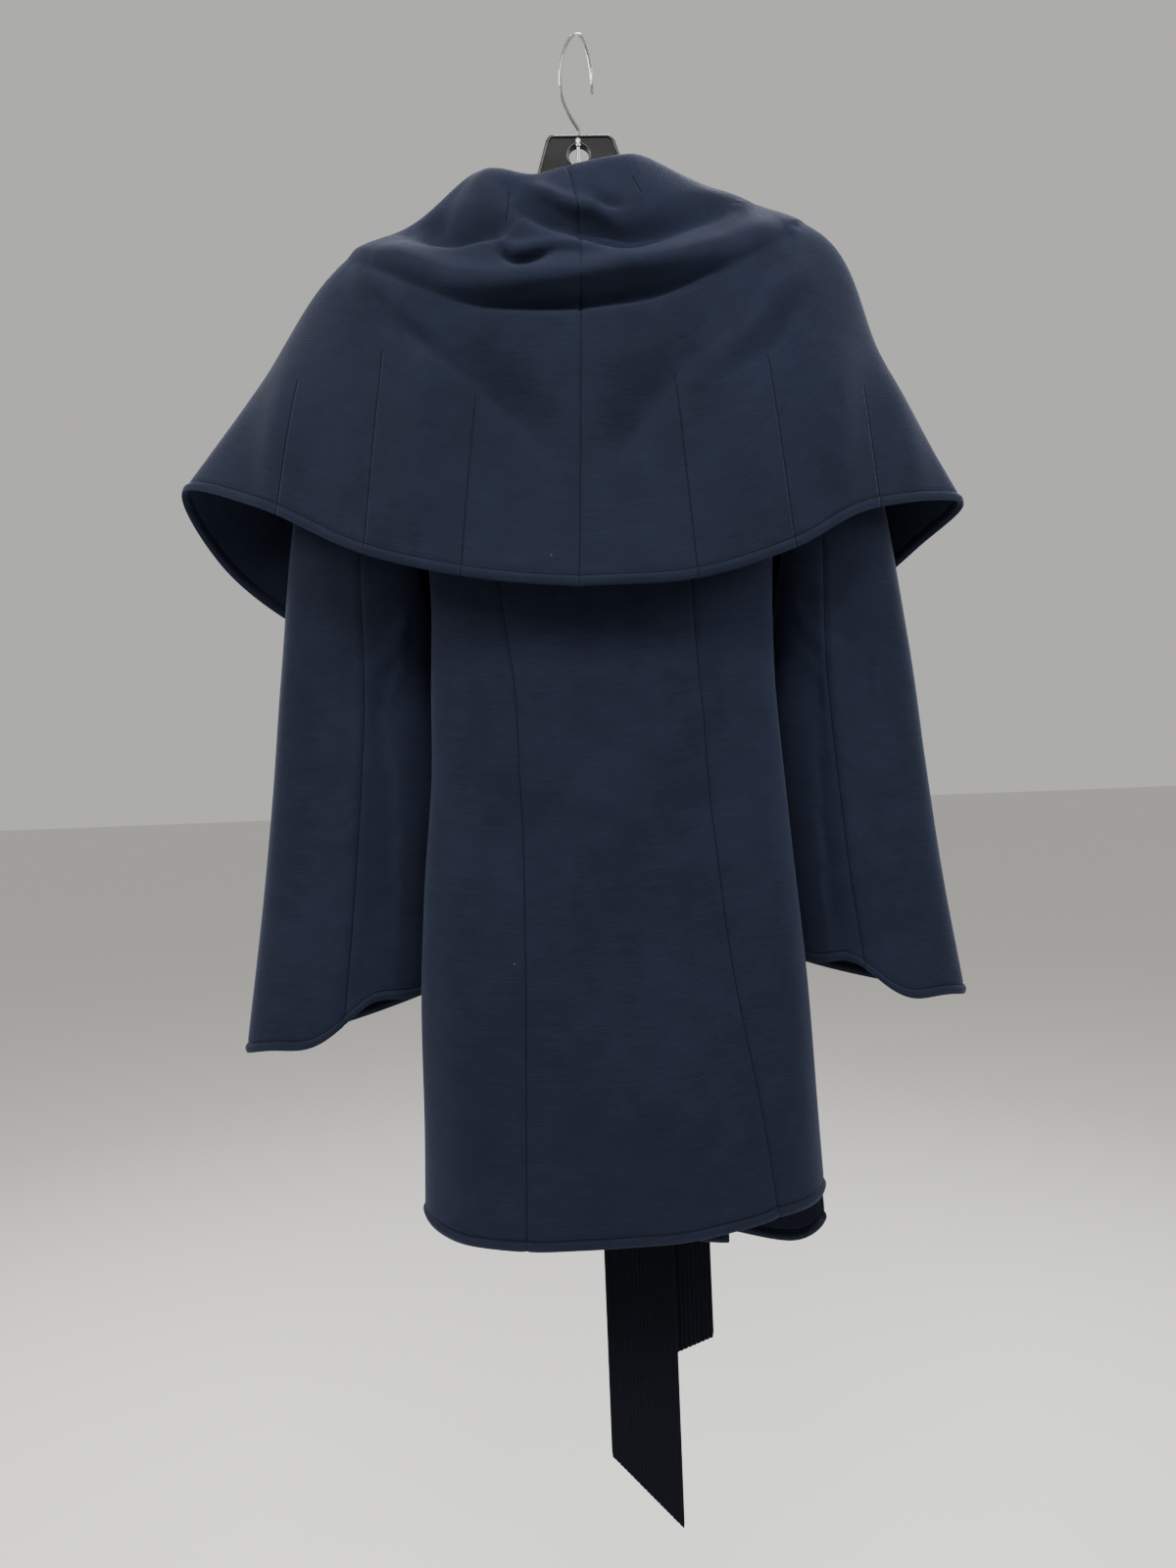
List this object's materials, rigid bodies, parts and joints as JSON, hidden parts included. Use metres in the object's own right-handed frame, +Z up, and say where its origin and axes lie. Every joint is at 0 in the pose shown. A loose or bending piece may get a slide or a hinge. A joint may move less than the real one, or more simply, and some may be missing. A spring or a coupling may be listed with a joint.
{
  "type": "wrap coat on a hanger",
  "caption": "Thigh-length wrap coat with a wide cape collar, bell sleeves and a tied belt, hanging on a flat hanger with a wire hook.",
  "frame": {"origin": "inside of the hanger hook's crown, where a rail or wall hook carries it", "axes": "+Z up; the wearer's front faces -Y and the wearer's left is +X, so the coat's back faces +Y"},
  "size_m": [0.7261, 0.2025, 1.4223],
  "materials": {
    "cloth": "matte navy firm knit with a soft nap",
    "belt_cloth": "matte near-black navy knit, sewn in lengthwise rows",
    "hanger_plastic": "black moulded plastic, soft gloss",
    "hook_wire": "bright plated wire"
  },
  "bodies": {
    "root": {"back_centre": "cloth", "side_back_left": "cloth", "side_back_right": "cloth", "front_left": "cloth", "front_right": "cloth", "sleeve_left_outer": "cloth", "sleeve_left_inner": "cloth", "sleeve_right_outer": "cloth", "sleeve_right_inner": "cloth", "collar_left": "cloth", "collar_right": "cloth", "belt_tie_left": "belt_cloth", "belt_tie_right": "belt_cloth", "belt_knot": "belt_cloth", "belt_end_long": "belt_cloth", "belt_end_short": "belt_cloth", "hanger_body": "hanger_plastic", "hanger_hook": "hook_wire"}
  },
  "joints": []
}
